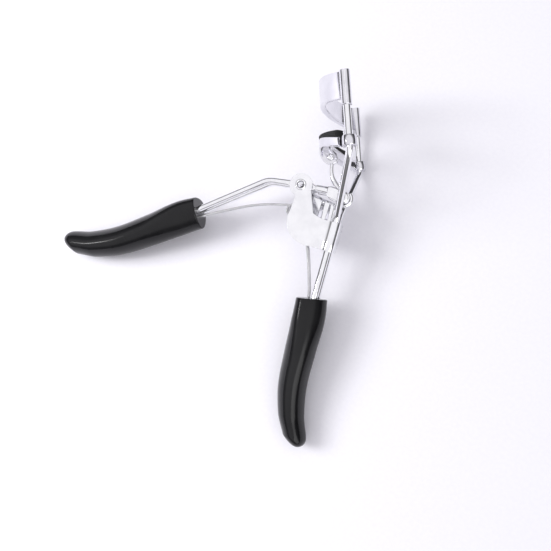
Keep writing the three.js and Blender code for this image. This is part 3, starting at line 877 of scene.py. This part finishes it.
def link():
    """One wire: an eye round the jaw's pin, a bowed shank, and an open hook round the lever's pin."""
    top = loop(JAW_PIN, LINK_EYE_LOOP, 215, -85)
    hook = loop(LINK_PIN, LINK_HOOK_LOOP, 115, 395)
    start = top[-1]
    finish = hook[0]
    leaving = start + Vector((-1.2, -4.6, 0))
    arriving = finish + Vector((-1.6, 3.4, 0))
    steps = 20
    shank = []
    for i in range(1, steps):
        t = i / steps
        shank.append(
            start * (1 - t)**3 + 3 * leaving * t * (1 - t)**2
            + 3 * arriving * t**2 * (1 - t) + finish * t**3
        )

    def girth(i):
        radius = lerp(LINK_EYE_WIRE, LINK_HOOK_WIRE, smooth((i - len(top)) / len(shank)))
        return radius, radius

    return sweep("jaw_link", [*top, *shank, *hook], LINK_EYE_WIRE, ROUND, girth)


# ---- Return spring ---------------------------------------------------------------------------


def spring_strand(side):
    """One strand, from the hairpin in the frame's grip, round the coil, to the lever's grip."""
    leg = [
        (-2.9, -40.5, SPRING_PAIR_Z), (-0.6, -34, 1.1), (0, -26.6, 1.3),
        (0.1, -19, 1.4), (-0.7, -13, 1.6),
    ]
    coil = []
    count = 28
    for i in range(count + 1):
        share = 1 - i / count
        angle = math.pi / 2 - 2 * math.pi * COIL_TURNS * share
        coil.append((
            COIL_CENTRE.x + COIL_RADIUS * math.cos(angle),
            COIL_CENTRE.y + COIL_RADIUS * math.sin(angle),
            SPRING_PAIR_Z + COIL_PITCH * COIL_TURNS * share,
        ))
    lever = [
        (-6.7, -5.0, SPRING_PAIR_Z), (-12, -4.35, SPRING_PAIR_Z), (-17.8, -4.25, SPRING_PAIR_Z),
        (-25.5, -4.95, SPRING_PAIR_Z), (-33.6, -5.95, SPRING_PAIR_Z), (-40, -7.4, SPRING_PAIR_Z),
    ]
    return [(x, y, side * z) for x, y, z in [*leg, *coil, *lever]]


def return_spring():
    strand = spring_strand(1)
    other = spring_strand(-1)[::-1]
    points = [SPRING_FRAME_END, *strand, SPRING_LEVER_END, *other]
    path = curved([*points, points[0]], 6)[:-1]
    return sweep("return_spring_wire", path, SPRING_WIRE, 14, closed=True)


# ---- Grips -----------------------------------------------------------------------------------


def grip_section(share, fill, grip, sides=72):
    """One ring of a grip. Its back rises to a ridge that runs from the mouth's edge to the middle."""
    swing = read(GRIP_STATIONS, 1, share)
    half = read(GRIP_STATIONS, 2, share)
    swell = 0.12
    taper = 0.25
    width = GRIP_HALF_WIDTH * (1 + swell * math.sin(math.pi * share)) * (1 - taper * share * share)
    ridge = smooth((share - 0.04) / 0.4)
    lean = lerp(-0.3, 0.05, ridge) * -grip["side"]
    power = lerp(1.0, 1.32, ridge)
    turn = math.radians(grip["angle"])
    ring = []
    for k in range(sides):
        angle = 2 * math.pi * k / sides
        inwards = math.cos(angle)
        rise = math.sin(angle)
        rise = math.copysign(abs(rise) ** power, rise)
        inwards += lean * (1 - inwards * inwards)
        x = share * grip["length"]
        y = (swing + half * fill * inwards) * grip["length"] * (-1 if grip["side"] > 0 else 1)
        ring.append((
            grip["mouth"].x + x * math.cos(turn) - y * math.sin(turn),
            grip["mouth"].y + x * math.sin(turn) + y * math.cos(turn),
            width * fill * rise,
        ))
    return ring


def grip_body(name, grip):
    """A grip: a flat-cut mouth with a small round edge, and a domed tip."""
    rings = [grip_section(0.0, 0.02, grip), grip_section(0.0, 0.93, grip)]
    for i in range(5):
        angle = math.pi / 2 * i / 4
        share = 0.009 * (1 - math.cos(angle))
        rings.append(grip_section(share, 0.95 + 0.05 * math.sin(angle), grip))
    body_start = 0.012
    body_end = 0.92
    tip_length = 0.08
    body_steps = 56
    for i in range(1, body_steps + 1):
        rings.append(grip_section(lerp(body_start, body_end, i / body_steps), 1, grip))
    tip_steps = 18
    for i in range(1, tip_steps + 1):
        angle = math.pi / 2 * i / tip_steps
        fill = max(math.cos(angle), 0.0001) ** 0.8
        share = body_end + tip_length * math.sin(angle)
        rings.append(grip_section(share, max(fill, 0.01), grip))
    return loft(name, rings, sharp=60)


# ---- Stage -----------------------------------------------------------------------------------


def resting_normal(pieces):
    """The upward normal of the plane that the curler lies on, with its lowest point."""
    clouds = [[Vector(v.co) for v in piece.data.vertices] for piece in pieces]
    normal = Vector((0, 0, 1))
    for _ in range(12):
        low = [min(cloud, key=lambda p: p.dot(normal)) for cloud in clouds]
        normal = (low[1] - low[0]).cross(low[2] - low[0]).normalized()
        if normal.z < 0:
            normal.negate()
    every = [p for cloud in clouds for p in cloud]
    return normal, min(every, key=lambda p: p.dot(normal))


def make_floor(normal, lowest):
    """A plain square of paper, just under the curler and square to the given normal."""
    half = 0.9
    clearance = 0.00002
    mesh = bpy.data.meshes.new("floor")
    corners = [Vector((x * half, y * half, 0)) for x, y in ((-1, -1), (1, -1), (1, 1), (-1, 1))]
    mesh.from_pydata(corners, [], [(0, 1, 2, 3)])
    floor = bpy.data.objects.new("floor", mesh)
    bpy.context.scene.collection.objects.link(floor)
    tilt = normal.to_track_quat("Z", "Y").to_matrix().to_4x4()
    floor.matrix_world = Matrix.Translation(lowest - normal * clearance) @ tilt
    mesh.materials.append(floor_paper())


def make_world():
    """A white studio with a dark horizon, so that polished wire shows thin dark lines."""
    world = bpy.data.worlds.new("studio")
    bpy.context.scene.world = world
    world.use_nodes = True
    nodes = world.node_tree.nodes
    links = world.node_tree.links
    place = nodes.new("ShaderNodeTexCoord")
    split = nodes.new("ShaderNodeSeparateXYZ")
    ramp = nodes.new("ShaderNodeValToRGB")
    stops = ramp.color_ramp.elements
    stops[0].position = 0.0
    stops[0].color = (0.06, 0.06, 0.065, 1)
    stops[1].position = 0.18
    stops[1].color = (0.08, 0.08, 0.085, 1)
    for position, value in ((0.28, 0.2), (0.46, 0.28), (0.6, 0.86), (0.74, 0.97), (1.0, 0.98)):
        stop = stops.new(position)
        stop.color = (value, value * 0.99, min(value * 1.02, 1.0), 1)
    links.new(place.outputs["Generated"], split.inputs["Vector"])
    links.new(split.outputs["Z"], ramp.inputs["Fac"])
    links.new(ramp.outputs["Color"], nodes["Background"].inputs["Color"])
    nodes["Background"].inputs["Strength"].default_value = 1.03


def make_light(name, place, aim, size, watts, mirrored=True, lights_floor=True):
    data = bpy.data.lights.new(name, "AREA")
    data.shape = "DISK"
    data.size = size
    data.energy = watts
    light = bpy.data.objects.new(name, data)
    light.visible_glossy = mirrored
    light.visible_diffuse = lights_floor
    bpy.context.scene.collection.objects.link(light)
    light.location = place
    light.rotation_euler = (aim - place).to_track_quat("-Z", "Y").to_euler()


def make_camera():
    """The camera stands almost straight above, leaning a little towards the open handles."""
    right = Vector(CAMERA_RIGHT)
    up = Vector(CAMERA_UP)
    back = right.cross(up).normalized()
    data = bpy.data.cameras.new("camera")
    data.lens = CAMERA_LENS
    data.sensor_width = CAMERA_SENSOR
    data.clip_start = 0.005
    camera = bpy.data.objects.new("camera", data)
    bpy.context.scene.collection.objects.link(camera)
    turn = Matrix((right, back.cross(right), back)).transposed().to_4x4()
    camera.matrix_world = Matrix.Translation(at(*CAMERA_PLACE)) @ turn
    bpy.context.scene.camera = camera


# ---- Assembly --------------------------------------------------------------------------------

make_camera()

put(guide_rod(1), WIRE, "chrome_wire", "frame", "guide_rod_near")
put(guide_rod(-1), WIRE, "chrome_wire", "frame", "guide_rod_far")
put(upper_jaw(), SHADED_JAW_CHROME, "chrome_sheet", "frame", "upper_jaw")
put(pivot_bracket(), PRESSED, "chrome_sheet", "frame", "pivot_bracket")
put(pivot_rivet(), PRESSED, "chrome_sheet", "frame", "pivot_rivet")
spacer_half = LEVER_Z - LEVER_FLAT - SPACER_GAP
pivot_bore = RIVET_RADIUS + PIN_HOLE_GAP
put(tube_between("pivot_tube", pivot_bore, SPACER_RADIUS, -spacer_half, spacer_half),
    PRESSED, "chrome_sheet", "frame", "pivot_spacer")
washer_low = LEVER_Z + LEVER_FLAT + WASHER_GAP
washer_high = CHEEK_INNER_Z - WASHER_GAP
put(tube_between("washer_near", pivot_bore, WASHER_RADIUS, washer_low, washer_high),
    PRESSED, "chrome_sheet", "frame", "pivot_washer_near")
put(tube_between("washer_far", pivot_bore, WASHER_RADIUS, -washer_high, -washer_low),
    PRESSED, "chrome_sheet", "frame", "pivot_washer_far")
bottom_grip = put(grip_body("grip_frame", FRAME_GRIP), PLASTIC, "black_plastic", "frame", "frame_grip")

put(lever_wire(1), WIRE, "chrome_wire", "lever", "lever_wire_near")
put(lever_wire(-1), WIRE, "chrome_wire", "lever", "lever_wire_far")
pin_inner = LEVER_Z + LEVER_FLAT + 0.06
put(headed_pin("lever_end_pin", LINK_PIN, LINK_PIN_RADIUS, LINK_PIN_HEAD, pin_inner, pin_inner + 0.55),
    WIRE, "chrome_wire", "lever", "link_pin")
left_grip = put(grip_body("grip_lever", LEVER_GRIP), PLASTIC, "black_plastic", "lever", "lever_grip")

put(link(), WIRE, "chrome_wire", "link", "link")

carrier = put(lower_jaw(), SHADED_JAW_CHROME, "chrome_sheet", "carrier", "lower_jaw")
put(headed_pin("jaw_end_pin", JAW_PIN, JAW_PIN_RADIUS, JAW_PIN_HEAD, 1.9, 2.3),
    WIRE, "chrome_wire", "carrier", "jaw_pin")
put(jaw_pad(), RUBBER, "black_rubber", "carrier", "jaw_pad")

spring = put(return_spring(), SPRING, "spring_wire", None,
             "return_spring_frame_leg", "return_spring_lever_leg")
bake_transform(spring)

make_floor(*resting_normal([carrier, bottom_grip, left_grip]))
make_world()
centre = at(-5, -15, 0)
make_light("key", centre + Vector((-0.36, 0.12, 0.42)), centre, 0.3, 1.9, mirrored=False)
make_light("sparkle", centre + Vector((-0.3, 0.05, 0.3)), centre, 0.05, 0.12)
# A card at the lower right that only shows as a reflection, along the grips' lower faces
make_light("card", centre + Vector((0.26, -0.36, 0.26)), centre, 0.46, 1.0, lights_floor=False)

bpy.context.scene.view_settings.view_transform = "Standard"
